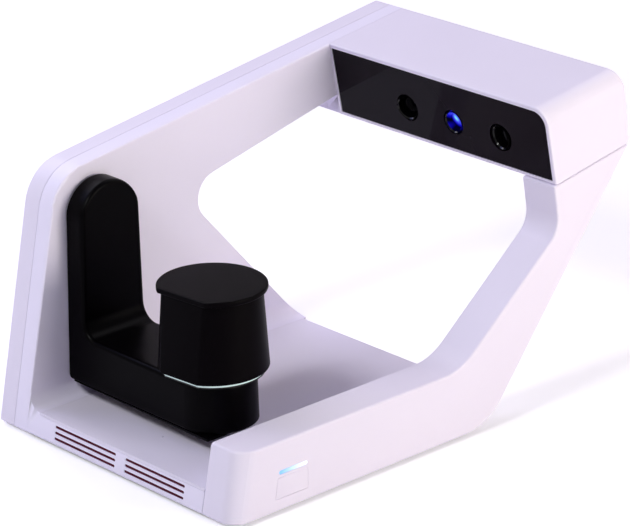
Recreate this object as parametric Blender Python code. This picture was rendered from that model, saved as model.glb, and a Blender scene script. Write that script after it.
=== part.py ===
"""A dental lab scanner: an open ribbon frame with a camera head, a swing arm and a turntable.

Sizes are in metres. The model is laid out with X from the outer face of the left wall, Y from the
front edge of the base and Z from the underside of the base. At the end everything is moved so that
the origin lies on the standing surface, in the middle of the footprint.
"""

import math

import bmesh
import bpy
from mathutils import Matrix, Vector

for leftover in list(bpy.data.objects):
    bpy.data.objects.remove(leftover, do_unlink=True)

# Clearances and wall thicknesses
SEAM = 0.0003
WALL = 0.0026
STEP = 0.00005
CHORD_ERROR = 0.00007
LEAST_RADIUS = 0.00005
HALFWAY_ROUND = 1 - math.sqrt(0.5)
BEYOND = 0.005

# Frame: overall sizes and the two flanks
WIDTH = 0.245
FRONT_LEAN = 0.1966
LEFT_WIDTH = 0.0308
PARTING_X = 0.0167
LEFT_OUTER_ROUND = 0.0025
LEFT_INNER_BEVEL = 0.0009
RIGHT_FLANK_WIDTH = 0.0307
RIGHT_INNER_X = WIDTH - RIGHT_FLANK_WIDTH
RIGHT_PANEL_THICK = 0.0020
RIM_TOP = 0.0489
RIGHT_FRONT_ROUND = 0.014
RIGHT_EDGE_ROUND = 0.0015
RIM_FRONT_ROUND = 0.0025
RIGHT_MOUTH_BEVEL = 0.0005
PANEL_BEVEL = 0.0004
FOOT_EDGE_ROUND = 0.0015

# Left flank, as corners (y, z, radius) from the front bottom edge, clockwise seen from the left
TOP_FRONT = (0.0350, 0.1780, 0.034)
TOP_REAR = (0.3658, 0.2271, 0.004)
BEAK_LOWER = (0.3740, 0.1724, 0.003)
BEAK_INNER = (0.2998, 0.1595, 0.002)
BEAK_STEP = (0.2970, 0.1755, 0.0015)
NOTCH = (0.1458, 0.1389, 0.0185)
FLOOR_Z = 0.01754
BASE_DEPTH = 0.2353
BASE_REAR_OVERHANG = 0.0172
BASE_REAR_TOP = (BASE_DEPTH + BASE_REAR_OVERHANG, FLOOR_Z, 0.002)
BASE_REAR_BOTTOM = (BASE_DEPTH, 0.0, 0.043)

# Right flank: the rim, the bend of the ribbon and the seam under the head
RIM_BEND_AHEAD = 0.0274
RIM_BEND = (BASE_DEPTH - RIM_BEND_AHEAD, RIM_TOP, 0.045)
NECK_BEND = (0.3039, 0.1259, 0.019)
SEAM_FRONT = (0.2984, 0.1591, 0.001)
SEAM_REAR = (0.37395, 0.17287, 0.001)

# Base
FLOOR_THICK = 0.0016
FLOOR_SEAM_X = 0.0425
COVE_RADIUS = 0.011
BASE_REAR_ROUND_RUN = 0.0208
BASE_REAR_START = BASE_DEPTH - BASE_REAR_ROUND_RUN
BOTTOM_PLATE_THICK = 0.0020
BOTTOM_PLATE_CORNER = 0.0008
FLOOR_HOLE_SHIFT = 0.0209
FLOOR_HOLE_Y = 0.0376
FLOOR_HOLE_RADIUS = 0.00075
VENT_LEFT = 0.0605
VENT_RIGHT_GAP = 0.0193
VENT_RIGHT = RIGHT_INNER_X - VENT_RIGHT_GAP
VENT_BRIDGE = 0.0102
VENT_SPLIT = 0.514
VENT_HEIGHT = 0.0020
VENT_END_ROUND = 0.0008
VENT_FIRST_Z = 0.0049
VENT_PITCH = 0.00405
VENT_ROWS = 3
FOOT_RADIUS = 0.006
FOOT_HEIGHT = 0.0025
FOOT_CHAMFER = 0.0008
FOOT_LEFT_GAP = 0.0240
FOOT_RIGHT_GAP = 0.0154
FOOT_FRONT_GAP = 0.0300
FOOT_REAR_GAP = 0.0303
FOOT_XS = (FOOT_LEFT_GAP, WIDTH - FOOT_RIGHT_GAP)
FOOT_YS = (FOOT_FRONT_GAP, BASE_DEPTH - FOOT_REAR_GAP)

# Head
HEAD_LEFT_X = 0.0297
HEAD_FRONT_TOP = (0.2889, 0.2157, 0.0012)
HEAD_REAR_TOP = TOP_REAR
HEAD_REAR_BOTTOM = (0.3741, 0.1729, 0.003)
HEAD_FRONT_BOTTOM = (0.3000, 0.1594, 0.0012)
HEAD_END_ROUND = 0.013
HEAD_EDGE_ROUND = 0.0012
LIP_TOP = 0.0026
LIP_BOTTOM = 0.0024
LIP_LEFT = 0.0019
LIP_RIGHT = 0.0030
GLASS_THICK = 0.0020
GLASS_SET_BACK = 0.0003
GLASS_CORNER = 0.0005
GLASS_BEVEL = 0.0003

# Optics, placed on the glass by their distance across and down
TABLE_RIGHT_GAP = 0.0920
TABLE_X = WIDTH - TABLE_RIGHT_GAP
OPTICS_SHIFT = 0.0031
OPTICS_X = TABLE_X - OPTICS_SHIFT
OPTICS_PITCH = 0.0458
OPTICS_DOWN = 0.0331
CAMERA_HOLE_RADIUS = 0.0104
PROJECTOR_HOLE_RADIUS = 0.0094
CAMERA_TOE_IN = math.radians(11)
BARREL_LENGTH = 0.014
BARREL_WALL = 0.0009
BARREL_FRONT = 0.0012
BARREL_GAP = 0.0013
BARREL_CHAMFER = 0.0002
FUNNEL_DEPTH = 0.0025
LENS_LEDGE = 0.0012
LENS_SEAT_DEPTH = 0.0026
LENS_WELL_LEDGE = 0.0010
LENS_WELL_DEPTH = 0.0024
LENS_RIM_THICK = 0.0010
LENS_BULGE = 0.0012
LENS_STEPS = 4
OPTIC_BODY_DEPTH = 0.030
OPTIC_BODY_CORNER = 0.0020
OPTIC_BODY_BEVEL = 0.0008
CAMERA_BODY_HALF = 0.013
PROJECTOR_BODY_HALF = 0.014
BRACKET_THICK = 0.002
BRACKET_SHELF_THICK = 0.003
BRACKET_SHELF_DEPTH = 0.056
BRACKET_HOLE_GAP = 0.0016
BRACKET_RIGHT_GAP = 0.0150
BRACKET_RIGHT_X = WIDTH - BRACKET_RIGHT_GAP

# Swing arm
PIVOT_Y = 0.0666
PIVOT_Z = 0.1465
ARM_BACK_X = 0.0323
ARM_FRONT_X = 0.0493
ARM_END_SHIFT = 0.0017
ARM_END_X = TABLE_X + ARM_END_SHIFT
ARM_BOTTOM_Z = 0.0302
ARM_TOP_Z = 0.0646
ARM_HALF_WIDTH = 0.0287
ARM_DRAFT = 0.0240
ARM_HEAD_RADIUS = ARM_HALF_WIDTH - ARM_DRAFT * (PIVOT_Z - ARM_BOTTOM_Z)
ARM_INNER_FILLET = 0.0125
ARM_EDGE_ROUND = 0.0033
ARM_SLIGHT_ROUND = 0.0013
ARM_RINGS = 24
ARM_WALL = 0.0024
LEVEL_WALL = 0.0027
ARM_PLATE_THICK = 0.0018
ARM_CORNER_BAR = 0.0048
ARM_HOLLOW_CORNER = 0.0020
NEARLY_FULL = 0.999
COVER_THICK = 0.0019
COVER_START_GAP = 0.0040
COVER_START_X = ARM_BACK_X + COVER_START_GAP
COVER_REACH = 0.0228
COVER_END_X = ARM_END_X + COVER_REACH
COVER_FAR_ROUND = 0.0205
COVER_NEAR_ROUND = 0.0020
COVER_SQUARE_ROUND = 0.0008
COVER_BEVEL = 0.0003
SHAFT_RADIUS = 0.008
SHAFT_LEFT_X = 0.0120
HUB_RADIUS = 0.017
HUB_THICK = 0.004
SHAFT_HOLE_RADIUS = 0.0095
BEARING_GAP = 0.0004
GEARBOX_HALF_Y = 0.020
GEARBOX_HALF_Z = 0.022
GEARBOX_CORNER = 0.0030
SWING_MOTOR_RADIUS = 0.0118
SWING_MOTOR_LENGTH = 0.056
SWING_MOTOR_NECK = 0.0071
SWING_MOTOR_NECK_LENGTH = 0.0040

# Turntable
TABLE_MOTOR_RADIUS = 0.014
TABLE_MOTOR_HEIGHT = 0.020
SPINDLE_RADIUS = 0.005
SPINDLE_HOLE_RADIUS = 0.0065
RING_GAP = 0.0004
RING_THICK = 0.0026
RING_BOTTOM_Z = ARM_TOP_Z + RING_GAP
RING_TOP_Z = RING_BOTTOM_Z + RING_THICK
CUP_BOTTOM_Z = RING_TOP_Z + SEAM
CUP_TOP_Z = 0.1228
PLATE_TOP_Z = 0.1270
PLATE_RADIUS = 0.0374
PLATE_EDGE_ROUND = 0.0012
PLATE_OVERHANG = 0.0034
CUP_FLARE = 0.0036
RING_SET_BACK = 0.0028
RING_WIDTH = 0.0140
CUP_TOP_RADIUS = PLATE_RADIUS - PLATE_OVERHANG
CUP_BOTTOM_RADIUS = CUP_TOP_RADIUS + CUP_FLARE
RING_RADIUS = CUP_BOTTOM_RADIUS - RING_SET_BACK
TABLE_HUB_RADIUS = RING_RADIUS - RING_WIDTH
CUP_EDGE_ROUND = 0.0012
CUP_WALL = 0.0024
CUP_FLOOR = 0.0030
FACET_HEADING = math.radians(-84.7)
FACET_HALF_BOTTOM = math.radians(25.6)
FACET_HALF_TOP = math.radians(32)
PLATE_FACET_HALF = math.radians(35)
SPIGOT_DEPTH = 0.0040
FACETED_STEPS = 48

# Light bar, button and switch on the right flank
LIGHT_BAR_Y = 0.05355
LIGHT_BAR_Z = 0.0270
LIGHT_BAR_LENGTH = 0.0253
LIGHT_BAR_HEIGHT = 0.0030
LIGHT_BAR_FLANGE = 0.0004
LIGHT_BAR_FLANGE_THICK = 0.0010
LIGHT_BAR_GAP = 0.0002
BUTTON_CORNERS = (
    (0.0370, 0.0084, 0.0013),
    (0.0665, 0.0084, 0.0013),
    (0.0665, 0.0236, 0.0013),
    (0.0398, 0.0236, 0.0013),
)
BUTTON_GAP = 0.00035
BUTTON_FLANGE = 0.0010
BUTTON_FLANGE_THICK = 0.0015
BUTTON_BEVEL = 0.0004
BUTTON_TRAVEL_ROOM = 0.0016
SWITCH_HALF_Y = 0.009
SWITCH_HALF_Z = 0.006
SWITCH_CORNER = 0.001
SWITCH_STEM = 0.004

# Sockets on the sloping back of the right flank, by distance up the slope
USB_UP = 0.036
USB_HALF_X = 0.0060
USB_HALF_UP = 0.0055
USB_DEPTH = 0.014
USB_CORNER = 0.0012
USB_SHELL = 0.0007
USB_TONGUE_GAP = 0.0024
USB_TONGUE_SET_BACK = 0.0015
USB_MOUTH_DEPTH = 0.009
USB_FLANGE = 0.0015
JACK_UP = 0.058
JACK_RADIUS = 0.0050
JACK_DEPTH = 0.012
JACK_FLANGE = 0.0020
JACK_BORE_RADIUS = 0.0034
JACK_BORE_DEPTH = 0.010
JACK_PIN_RADIUS = 0.0010
JACK_PIN_SET_BACK = 0.0010
JACK_PIN_CHAMFER = 0.0004

# Electronics in the base
BOARD_MIN = (0.060, 0.050)
BOARD_RIGHT_GAP = 0.0243
BOARD_REAR_GAP = 0.0453
BOARD_MAX = (RIGHT_INNER_X - BOARD_RIGHT_GAP, BASE_DEPTH - BOARD_REAR_GAP)
BOARD_THICK = 0.0016
BOARD_CORNER = 0.0020
BOSS_HEIGHT = 0.0028
BOSS_RADIUS = 0.0030
BOSS_INSET = 0.0045
CHIP_HEIGHT = 0.0030
CHIPS = ((0.20, 0.21, 0.016), (0.50, 0.43, 0.022), (0.77, 0.71, 0.014), (0.27, 0.75, 0.018))

MATERIALS = {}


def material(name, colour, roughness, metallic=0.0, glow=None):
    """A named Principled material, made once."""
    if name in MATERIALS:
        return MATERIALS[name]
    made = bpy.data.materials.new(name)
    made.use_nodes = True
    shader = made.node_tree.nodes["Principled BSDF"]
    shader.inputs["Base Color"].default_value = (*colour, 1.0)
    shader.inputs["Roughness"].default_value = roughness
    shader.inputs["Metallic"].default_value = metallic
    if glow:
        shader.inputs["Emission Color"].default_value = (*glow, 1.0)
        shader.inputs["Emission Strength"].default_value = 1.0
    MATERIALS[name] = made
    return made


def white_shell(name):
    return material(name, (0.80, 0.79, 0.86), 0.38)


def black_satin(name):
    return material(name, (0.012, 0.012, 0.015), 0.42)


# Outlines: closed lists of corners (u, v, radius), whose sides can be moved inward one by one


def turn_at(corners, index):
    """The signed turn of an outline at a corner, positive to the left."""
    before = Vector(corners[index][:2]) - Vector(corners[index - 1][:2])
    after = Vector(corners[(index + 1) % len(corners)][:2]) - Vector(corners[index][:2])
    return math.atan2(before.cross(after), before.dot(after))


def winding(corners):
    return 1.0 if sum(turn_at(corners, i) for i in range(len(corners))) > 0 else -1.0


def side_insets(corners, inset):
    """One inset for each side, from one number or from a list."""
    if isinstance(inset, (list, tuple)):
        return list(inset)
    return [inset] * len(corners)


def inset_outline(corners, inset):
    """The outline with every side moved inward. Side i runs from corner i to the next one."""
    sides = side_insets(corners, inset)
    way = winding(corners)
    lines = []
    for i, side in enumerate(sides):
        start = Vector(corners[i][:2])
        along = (Vector(corners[(i + 1) % len(corners)][:2]) - start).normalized()
        inward = Vector((-along.y, along.x)) * way
        lines.append((start + inward * side, along))
    moved = []
    for i, (_, _, radius) in enumerate(corners):
        (start_a, along_a), (start_b, along_b) = lines[i - 1], lines[i]
        reach = (start_b - start_a).cross(along_b) / along_a.cross(along_b)
        place = start_a + along_a * reach
        change = min(sides[i - 1], sides[i]) * (1 if turn_at(corners, i) * way > 0 else -1)
        moved.append((place.x, place.y, max(radius - change, LEAST_RADIUS)))
    return moved


def arc_steps(radius, turn):
    """How many chords keep an arc within the chord error."""
    if radius <= LEAST_RADIUS:
        return 1
    step = 2 * math.acos(max(1 - CHORD_ERROR / radius, 0.5))
    return max(2, math.ceil(abs(turn) / step))


def outline_steps(corners):
    return [arc_steps(c[2], turn_at(corners, i)) for i, c in enumerate(corners)]


def rounded(corners, steps=None):
    """The points of an outline with its corners rounded, the same count for each inset of it."""
    steps = steps or outline_steps(corners)
    points = []
    for i, (u, v, radius) in enumerate(corners):
        corner = Vector((u, v))
        back = (Vector(corners[i - 1][:2]) - corner).normalized()
        on = (Vector(corners[(i + 1) % len(corners)][:2]) - corner).normalized()
        turn = turn_at(corners, i)
        tangent = radius * math.tan(abs(turn) / 2)
        start = corner + back * tangent
        centre = start + Vector((back.y, -back.x)) * radius * math.copysign(1, turn)
        arm = start - centre
        for k in range(steps[i] + 1):
            angle = turn * k / steps[i]
            sine, cosine = math.sin(angle), math.cos(angle)
            points.append(centre + Vector((arm.x * cosine - arm.y * sine, arm.x * sine + arm.y * cosine)))
    return points


def edge_round(radius, distance):
    """How far a rounded edge draws a side in, at a distance from the end face."""
    if distance >= radius:
        return 0.0
    return radius - math.sqrt(radius**2 - (radius - distance) ** 2)


def round_distances(radius, steps):
    """Distances from the end face that sample a quarter round evenly."""
    return [radius * (1 - math.cos(math.pi / 2 * k / steps)) for k in range(steps + 1)]


# Frames of reference for outlines: each turns (u, v, w) into a point in space


def on_flank(u, v, w):
    """u along Y, v up, w along X."""
    return Vector((w, u, v))


def on_plan(u, v, w):
    """u along X, v along Y, w up."""
    return Vector((u, v, w))


def on_front(u, v, w):
    """u along X, v up, w along Y."""
    return Vector((u, w, v))


class Leaning:
    """A leaning plane: u along X, v along the slope and w straight into it."""

    def __init__(self, origin, slope, inward):
        self.origin = Vector(origin)
        self.slope = Vector(slope).normalized()
        self.inward = Vector(inward).normalized()

    def __call__(self, u, v, w):
        return self.origin + Vector((u, 0, 0)) + self.slope * v + self.inward * w


# Mesh makers


def finish(mesh_maker, name, look):
    """Turns a bmesh into a named object with its material and smooth round faces."""
    bmesh.ops.recalc_face_normals(mesh_maker, faces=mesh_maker.faces)
    mesh = bpy.data.meshes.new(name)
    mesh_maker.to_mesh(mesh)
    mesh_maker.free()
    mesh.shade_smooth()
    mesh.set_sharp_from_angle(angle=math.radians(32))
    made = bpy.data.objects.new(name, mesh)
    bpy.context.scene.collection.objects.link(made)
    if look is None:
        made.hide_render = True
        made.display_type = "WIRE"
    else:
        mesh.materials.append(look)
    return made


def skin(name, rings, look, closed_ring=False):
    """Skins rings of points in their order, and caps the first and the last one."""
    shape = bmesh.new()
    loops = [[shape.verts.new(point) for point in ring] for ring in rings]
    count = len(loops[0])
    pairs = list(zip(loops, loops[1:]))
    if closed_ring:
        pairs.append((loops[-1], loops[0]))
    for low, high in pairs:
        for k in range(count):
            m = (k + 1) % count
            shape.faces.new((low[k], low[m], high[m], high[k]))
    if not closed_ring:
        shape.faces.new(loops[0])
        shape.faces.new(loops[-1])
    return finish(shape, name, look)


def layered(name, corners, layers, place, look):
    """A prism made of layers (w, inset) of one outline."""
    steps = outline_steps(corners)
    rings = []
    for w, inset in layers:
        points = rounded(inset_outline(corners, inset), steps)
        rings.append([place(p.x, p.y, w) for p in points])
    return skin(name, rings, look)


def prism(name, corners, low, high, place, look, inset=0.0):
    return layered(name, corners, [(low, inset), (high, inset)], place, look)


def round_steps(radius):
    """How many sides a full circle needs, a multiple of four."""
    return 4 * max(4, math.ceil(arc_steps(radius, 2 * math.pi) / 4))


def turned(name, profile, place, look):
    """A turned piece: profile points (radius, w), from axis to axis, about the frame's w axis."""
    shape = bmesh.new()
    loops = []
    steps = round_steps(max(radius for radius, _ in profile))
    for radius, w in profile:
        if radius == 0:
            loops.append([shape.verts.new(place(0, 0, w))])
            continue
        turns = [2 * math.pi * k / steps for k in range(steps)]
        ring = [place(radius * math.cos(a), radius * math.sin(a), w) for a in turns]
        loops.append([shape.verts.new(point) for point in ring])
    for low, high in zip(loops, loops[1:]):
        for k in range(steps):
            m = (k + 1) % steps
            if len(low) == 1:
                shape.faces.new((low[0], high[m], high[k]))
            elif len(high) == 1:
                shape.faces.new((low[k], low[m], high[0]))
            else:
                shape.faces.new((low[k], low[m], high[m], high[k]))
    return finish(shape, name, look)


def cylinder(name, radius, low, high, place, look):
    return turned(name, [(0, low), (radius, low), (radius, high), (0, high)], place, look)


def moved(place, u, v):
    """The same frame with its zero moved by (u, v)."""
    return lambda a, b, w: place(a + u, b + v, w)


def combine(target, other, operation):
    step = target.modifiers.new(f"{operation.title()} {other.name}", "BOOLEAN")
    step.operation = operation
    step.solver = "EXACT"
    step.object = other
    return target


def cut(target, *others):
    for other in others:
        combine(target, other, "DIFFERENCE")
    return target


def join(target, *others):
    for other in others:
        combine(target, other, "UNION")
    return target


def box_corners(u0, v0, u1, v1, radius=LEAST_RADIUS):
    return [(u0, v0, radius), (u1, v0, radius), (u1, v1, radius), (u0, v1, radius)]


# Left flank


def left_flank():
    bottom_front = (0.0, 0.0, FOOT_EDGE_ROUND)
    return [
        bottom_front,
        TOP_FRONT,
        TOP_REAR,
        BEAK_LOWER,
        BEAK_INNER,
        BEAK_STEP,
        NOTCH,
        BASE_REAR_TOP,
        BASE_REAR_BOTTOM,
    ]


def make_left_outer_cover():
    """A tray, open toward the parting line."""
    distances = round_distances(LEFT_OUTER_ROUND, 4)
    layers = [(d, edge_round(LEFT_OUTER_ROUND, d)) for d in distances]
    rim = PARTING_X - SEAM / 2
    layers += [(rim, 0), (rim, WALL), (WALL, WALL)]
    return layered("left_outer_cover", left_flank(), layers, on_flank, white_shell("outer cover"))


def base_outline(inset=0.0):
    """The side view of the base alone: the leaning front, the floor and the undercut back."""
    front_top = (FRONT_LEAN * FLOOR_Z, FLOOR_Z, LEAST_RADIUS)
    corners = [(0.0, 0.0, FOOT_EDGE_ROUND), front_top, BASE_REAR_TOP, BASE_REAR_BOTTOM]
    return inset_outline(corners, inset)


def base_hollow(top, front_inset):
    """The hollow of the base in side view, open below, with a back wall that follows the undercut."""
    inner = base_outline(WALL)
    rear_top, rear_bottom = inner[2], inner[3]
    slope = (rear_top[0] - rear_bottom[0]) / (rear_top[1] - rear_bottom[1])
    front = (front_inset, 0.0)
    return [
        (front[0] - FRONT_LEAN * BEYOND, -BEYOND, LEAST_RADIUS),
        (front[0] + FRONT_LEAN * top, top, LEAST_RADIUS),
        (rear_bottom[0] + slope * (top - rear_bottom[1]), top, LEAST_RADIUS),
        (rear_bottom[0], rear_bottom[1], rear_bottom[2]),
        (BASE_REAR_START, rear_bottom[1], LEAST_RADIUS),
        (BASE_REAR_START, -BEYOND, LEAST_RADIUS),
    ]


def cove_points():
    """The cross section of the base with the cove that runs up into the wall, seen from the front."""
    inside_wall = LEFT_WIDTH - WALL / 2
    edge = FLOOR_SEAM_X - SEAM / 2
    shelf = FLOOR_Z - FLOOR_THICK - SEAM
    centre_x = LEFT_WIDTH + COVE_RADIUS
    centre_z = FLOOR_Z - STEP + COVE_RADIUS
    points = [(inside_wall, -BEYOND), (RIGHT_INNER_X - SEAM, -BEYOND), (RIGHT_INNER_X - SEAM, shelf)]
    points += [(edge, shelf), (edge, FLOOR_Z - STEP)]
    steps = arc_steps(COVE_RADIUS, math.pi / 2)
    for k in range(steps + 1):
        angle = -math.pi / 2 - math.pi / 2 * k / steps
        points.append((centre_x + COVE_RADIUS * math.cos(angle), centre_z + COVE_RADIUS * math.sin(angle)))
    points.append((inside_wall, centre_z))
    return points


def cove_flank():
    """The side view that the cove is trimmed to: the wall's own flank, a hair smaller."""
    return inset_outline(left_flank(), STEP)


def make_left_inner_shell():
    """The inner half of the left wall, with the cove, the vented front of the base and a pivot hole."""
    flank = left_flank()
    rim = PARTING_X + SEAM / 2
    bevel_start = LEFT_WIDTH - LEFT_INNER_BEVEL
    layers = [(LEFT_WIDTH - WALL, WALL), (rim, WALL), (rim, 0)]
    layers += [(bevel_start, 0), (LEFT_WIDTH, LEFT_INNER_BEVEL)]
    shell = layered("left_inner_shell", flank, layers, on_flank, white_shell("inner shell"))

    low_front = -BEYOND
    long_back = BASE_REAR_TOP[0] + BEYOND
    rings = [[on_front(x, z, y) for x, z in cove_points()] for y in (low_front, long_back)]
    base = skin("base_section", rings, None)
    trim = prism("base_trim", cove_flank(), LEFT_WIDTH - WALL, WIDTH, on_flank, None)
    combine(base, trim, "INTERSECT")
    under_cove = prism(
        "under_cove",
        base_hollow(FLOOR_Z - WALL, WALL),
        LEFT_WIDTH + STEP,
        FLOOR_SEAM_X + BEYOND,
        on_flank,
        None,
    )
    behind_front = [
        (WALL - FRONT_LEAN * BEYOND, -BEYOND, LEAST_RADIUS),
        (WALL + FRONT_LEAN * RIM_TOP, RIM_TOP, LEAST_RADIUS),
        (BASE_REAR_TOP[0] + BEYOND, RIM_TOP, LEAST_RADIUS),
        (BASE_REAR_TOP[0] + BEYOND, -BEYOND, LEAST_RADIUS),
    ]
    under_floor = prism(
        "under_floor", behind_front, FLOOR_SEAM_X - SEAM / 2, WIDTH, on_flank, None
    )
    cut(base, under_cove, under_floor)
    join(shell, base)

    vents = make_vent_cutters()
    pivot = moved(on_flank, PIVOT_Y, PIVOT_Z)
    hole = cylinder("pivot_hole", SHAFT_HOLE_RADIUS, PARTING_X, LEFT_WIDTH + BEYOND, pivot, None)
    seat = prism("head_seat", head_outline(), HEAD_LEFT_X - SEAM, LEFT_WIDTH + BEYOND, on_flank, None, -SEAM)
    cut(shell, hole, seat, *vents)
    return shell


def make_vent_cutters():
    """Slots through the leaning front, one cutter for each slot."""
    cutters = []
    middle_x = VENT_LEFT + (VENT_RIGHT - VENT_LEFT) * VENT_SPLIT
    groups = ((VENT_LEFT, middle_x - VENT_BRIDGE / 2), (middle_x + VENT_BRIDGE / 2, VENT_RIGHT))
    for group, (left, right) in enumerate(groups):
        for row in range(VENT_ROWS):
            middle = VENT_FIRST_Z + VENT_PITCH * row
            corners = box_corners(
                left, middle - VENT_HEIGHT / 2, right, middle + VENT_HEIGHT / 2, VENT_END_ROUND
            )
            name = f"vent_{group}_{row}"
            cutters.append(prism(name, corners, -BEYOND, BEYOND * 2, on_front, None))
    return cutters


# Base


def make_floor_panel():
    """The scanning floor, which lies over the front edge and turns down at the back."""
    outline = base_outline()
    left = FLOOR_SEAM_X + SEAM / 2
    right = RIGHT_INNER_X - SEAM
    panel = prism("floor_panel", outline, left, right, on_flank, white_shell("floor"))
    under = FLOOR_Z - FLOOR_THICK
    hollow_corners = base_hollow(under, -BEYOND)
    hollow = prism("floor_hollow", hollow_corners, left - BEYOND, right + BEYOND, on_flank, None)
    pin = moved(on_plan, TABLE_X - FLOOR_HOLE_SHIFT, FLOOR_HOLE_Y)
    pin_hole = cylinder("floor_pin_hole", FLOOR_HOLE_RADIUS, under - BEYOND, FLOOR_Z + BEYOND, pin, None)
    return cut(panel, hollow, pin_hole)


def make_bottom_plate():
    """The sheet below the electronics, with a boss under each corner of the board."""
    low = SEAM
    high = low + BOTTOM_PLATE_THICK
    front = WALL + SEAM + FRONT_LEAN * high
    corners = box_corners(LEFT_WIDTH + SEAM, front, RIGHT_INNER_X - SEAM, BASE_REAR_START - SEAM, BOTTOM_PLATE_CORNER)
    plate = prism("bottom_plate", corners, low, high, on_plan, material("bottom plate", (0.05, 0.05, 0.055), 0.5))
    for n, (x, y) in enumerate(board_corners(BOSS_INSET)):
        place = moved(on_plan, x, y)
        join(plate, cylinder(f"boss_{n}", BOSS_RADIUS, low + SEAM, high + BOSS_HEIGHT, place, None))
    return plate


def board_corners(inset):
    return [
        (x, y)
        for x in (BOARD_MIN[0] + inset, BOARD_MAX[0] - inset)
        for y in (BOARD_MIN[1] + inset, BOARD_MAX[1] - inset)
    ]


def make_main_board():
    low = SEAM + BOTTOM_PLATE_THICK + BOSS_HEIGHT + SEAM
    high = low + BOARD_THICK
    green = material("circuit board", (0.02, 0.12, 0.06), 0.5)
    board = prism("main_board", box_corners(*BOARD_MIN, *BOARD_MAX, BOARD_CORNER), low, high, on_plan, green)
    for n, (share_x, share_y, side) in enumerate(CHIPS):
        x = BOARD_MIN[0] + (BOARD_MAX[0] - BOARD_MIN[0]) * share_x
        y = BOARD_MIN[1] + (BOARD_MAX[1] - BOARD_MIN[1]) * share_y
        corners = box_corners(x - side / 2, y - side / 2, x + side / 2, y + side / 2)
        join(board, prism(f"chip_{n}", corners, low + BOARD_THICK / 2, high + CHIP_HEIGHT, on_plan, None))
    return board


def make_feet():
    rubber = material("foot rubber", (0.02, 0.02, 0.02), 0.8)
    number = 0
    for y in FOOT_YS:
        for x in FOOT_XS:
            number += 1
            profile = [(0, -FOOT_HEIGHT), (FOOT_RADIUS - FOOT_CHAMFER, -FOOT_HEIGHT)]
            profile += [(FOOT_RADIUS, -FOOT_HEIGHT + FOOT_CHAMFER), (FOOT_RADIUS, -SEAM), (0, -SEAM)]
            turned(f"foot_{number}", profile, moved(on_plan, x, y), rubber)


# Right flank


def right_flank():
    bottom_front = (0.0, 0.0, FOOT_EDGE_ROUND)
    rim_front = (FRONT_LEAN * RIM_TOP, RIM_TOP, RIM_FRONT_ROUND)
    return [bottom_front, rim_front, RIM_BEND, NECK_BEND, SEAM_FRONT, SEAM_REAR, BASE_REAR_BOTTOM]


def right_insets(distance, wall=0.0):
    """The sides of the right flank at a distance from its outer face: a full front, softer elsewhere."""
    front = edge_round(RIGHT_FRONT_ROUND - wall, distance) + wall
    soft = edge_round(max(RIGHT_EDGE_ROUND - wall, LEAST_RADIUS), distance) + wall
    return [front, soft, soft, soft, soft + SEAM, soft, soft]


def make_right_arm_shell():
    """The right flank: rim, bend and neck in one hollow ribbon, open toward the scan space."""
    distances = sorted(
        round_distances(RIGHT_FRONT_ROUND, 7) + round_distances(RIGHT_EDGE_ROUND, 3)[1:]
    )
    layers = [(WIDTH - d, right_insets(d)) for d in distances]
    layers += [(RIGHT_INNER_X + RIGHT_MOUTH_BEVEL, right_insets(WIDTH))]
    layers += [(RIGHT_INNER_X, right_insets(WIDTH, RIGHT_MOUTH_BEVEL))]
    layers += [(RIGHT_INNER_X, right_insets(WIDTH, WALL))]
    inner = sorted(round_distances(RIGHT_FRONT_ROUND - WALL, 4), reverse=True)
    layers += [(WIDTH - WALL - d, right_insets(d, WALL)) for d in inner]
    shell = layered("right_arm_shell", right_flank(), layers, on_flank, white_shell("right arm"))
    bar_slot = prism("light_bar_slot", light_bar_outline(), WIDTH - BEYOND, WIDTH + BEYOND, on_flank, None)
    button_slot = prism(
        "button_slot", list(BUTTON_CORNERS), WIDTH - BEYOND, WIDTH + BEYOND, on_flank, None
    )
    usb_place, jack_place = socket_frames()
    usb_slot = prism("usb_slot", usb_outline(SEAM), -BEYOND, BEYOND, usb_place, None)
    jack_slot = cylinder("jack_slot", JACK_RADIUS + SEAM, -BEYOND, BEYOND, jack_place, None)
    return cut(shell, bar_slot, button_slot, usb_slot, jack_slot)


def make_right_arm_panel():
    """The flush panel that closes the right flank on its inner side."""
    low = RIGHT_INNER_X + SEAM
    high = low + RIGHT_PANEL_THICK
    edge = right_insets(WIDTH, WALL + SEAM)
    bevelled = right_insets(WIDTH, WALL + SEAM + PANEL_BEVEL)
    layers = [(low, bevelled), (low + PANEL_BEVEL, edge), (high, edge)]
    return layered("right_arm_panel", right_flank(), layers, on_flank, white_shell("arm panel"))


def light_bar_outline(inset=0.0):
    half = LIGHT_BAR_LENGTH / 2
    rise = LIGHT_BAR_HEIGHT / 2
    corners = box_corners(
        LIGHT_BAR_Y - half, LIGHT_BAR_Z - rise, LIGHT_BAR_Y + half, LIGHT_BAR_Z + rise, rise * NEARLY_FULL
    )
    return inset_outline(corners, inset)


def make_light_bar():
    glow = material("status light", (0.75, 0.95, 1.0), 0.3, glow=(0.7, 0.95, 1.0))
    back = WIDTH - WALL - SEAM
    layers = [(back - LIGHT_BAR_FLANGE_THICK, -LIGHT_BAR_FLANGE), (back, -LIGHT_BAR_FLANGE)]
    layers += [(back, LIGHT_BAR_GAP), (WIDTH - LIGHT_BAR_GAP / 2, LIGHT_BAR_GAP)]
    return layered("light_bar", light_bar_outline(), layers, on_flank, glow)


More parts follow.
